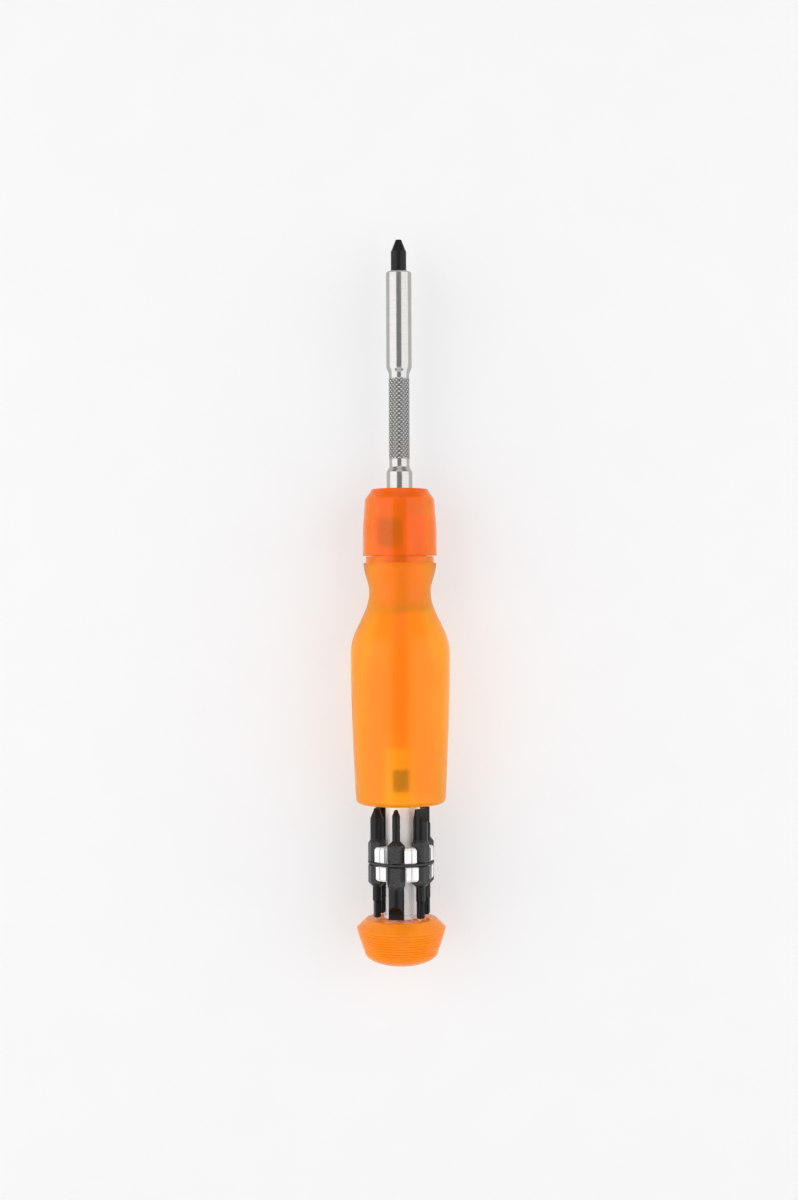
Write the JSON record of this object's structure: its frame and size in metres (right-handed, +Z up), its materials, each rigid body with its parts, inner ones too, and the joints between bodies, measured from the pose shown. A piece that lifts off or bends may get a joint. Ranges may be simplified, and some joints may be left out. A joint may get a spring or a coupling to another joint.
{
  "type": "ratcheting screwdriver",
  "caption": "Ratcheting screwdriver with a translucent grip, a selector collar, a knurled steel shaft and a pull-out cartridge of double-ended bits behind a free-turning end cap.",
  "frame": {"origin": "on the table below the middle of the tool's length, as it lies with the cartridge pulled out", "axes": "+Y along the tool toward its point, +Z up from the table"},
  "size_m": [0.0406, 0.297, 0.0406],
  "materials": {
    "grip_orange": "translucent satin",
    "collar_orange": "translucent satin",
    "bright_steel": "turned and knurled, bright",
    "inner_steel": "machined",
    "bushing_bronze": "turned",
    "dark_stop": "black oxide",
    "bit_black": "black oxide, matte",
    "core_white": "moulded, satin",
    "band_rubber": "smooth"
  },
  "bodies": {
    "handle": {"handle_body": "grip_orange", "ratchet_housing": "collar_orange", "rear_plug": "inner_steel", "pawl_pin": "inner_steel", "detent_ball": "inner_steel", "detent_spring": "inner_steel", "front_bushing": "bushing_bronze", "thrust_washer": "inner_steel", "collar_ring": "inner_steel", "guide_rod": "collar_orange", "rod_stop": "dark_stop"},
    "selector": {"selector_collar": "collar_orange", "nose_ring": "collar_orange", "plunger_ball": "inner_steel", "plunger_spring": "inner_steel"},
    "pawl": {"rocker_pawl": "dark_stop"},
    "shaft": {"driver_shaft": "bright_steel", "ratchet_gear": "inner_steel", "shaft_clip": "inner_steel", "socket_magnet": "inner_steel", "bit_clip": "inner_steel"},
    "tip_bit": {"installed_bit": "bit_black"},
    "cartridge": {"cartridge_core": "core_white", "bit_retaining_band": "band_rubber", "cap_axle": "inner_steel", "cap_washer": "inner_steel", "cap_ring": "inner_steel"},
    "cap": {"end_cap": "grip_orange"},
    "stored_bit_1": {"bit_1": "bit_black"},
    "stored_bit_2": {"bit_2": "bit_black"},
    "stored_bit_3": {"bit_3": "bit_black"},
    "stored_bit_4": {"bit_4": "bit_black"},
    "stored_bit_5": {"bit_5": "bit_black"},
    "stored_bit_6": {"bit_6": "bit_black"}
  },
  "joints": [
    {"name": "shaft_spin", "type": "hinge", "parent": "handle", "child": "shaft", "pos_m": [0, 0.03778, 0.0203], "axis": [0, 1, 0], "continuous": true},
    {"name": "selector_turn", "type": "hinge", "parent": "handle", "child": "selector", "pos_m": [0, 0.03277, 0.0203], "axis": [0, 1, 0], "range_deg": [-13, 13]},
    {"name": "pawl_rock", "type": "hinge", "parent": "handle", "child": "pawl", "pos_m": [-0.00315, 0.02877, 0.02809], "axis": [0, 1, 0], "range_deg": [-12.7, 12.7]},
    {"name": "cartridge_slide", "type": "slide", "parent": "handle", "child": "cartridge", "axis": [0, -1, 0], "range_m": [-0.04842, 0]},
    {"name": "cap_spin", "type": "hinge", "parent": "cartridge", "child": "cap", "pos_m": [0, -0.13723, 0.0203], "axis": [0, 1, 0], "continuous": true},
    {"name": "tip_bit_pull", "type": "slide", "parent": "shaft", "child": "tip_bit", "axis": [0, 1, 0], "range_m": [0, 0.032]},
    {"name": "bit_1_pull", "type": "slide", "parent": "cartridge", "child": "stored_bit_1", "axis": [-0.9455, 0, 0.3256], "range_m": [0, 0.012], "deforming": ["bit_retaining_band"]},
    {"name": "bit_2_pull", "type": "slide", "parent": "cartridge", "child": "stored_bit_2", "axis": [-0.1908, 0, 0.9816], "range_m": [0, 0.012], "deforming": ["bit_retaining_band"]},
    {"name": "bit_3_pull", "type": "slide", "parent": "cartridge", "child": "stored_bit_3", "axis": [0.7547, 0, 0.6561], "range_m": [0, 0.012], "deforming": ["bit_retaining_band"]},
    {"name": "bit_4_pull", "type": "slide", "parent": "cartridge", "child": "stored_bit_4", "axis": [0.9455, 0, -0.3256], "range_m": [0, 0.012], "deforming": ["bit_retaining_band"]},
    {"name": "bit_5_pull", "type": "slide", "parent": "cartridge", "child": "stored_bit_5", "axis": [0.1908, 0, -0.9816], "range_m": [0, 0.012], "deforming": ["bit_retaining_band"]},
    {"name": "bit_6_pull", "type": "slide", "parent": "cartridge", "child": "stored_bit_6", "axis": [-0.7547, 0, -0.6561], "range_m": [0, 0.012], "deforming": ["bit_retaining_band"]}
  ],
  "couplings": [
    {"joint": "pawl_rock", "follows": "selector_turn", "ratio": 0.92308}
  ]
}
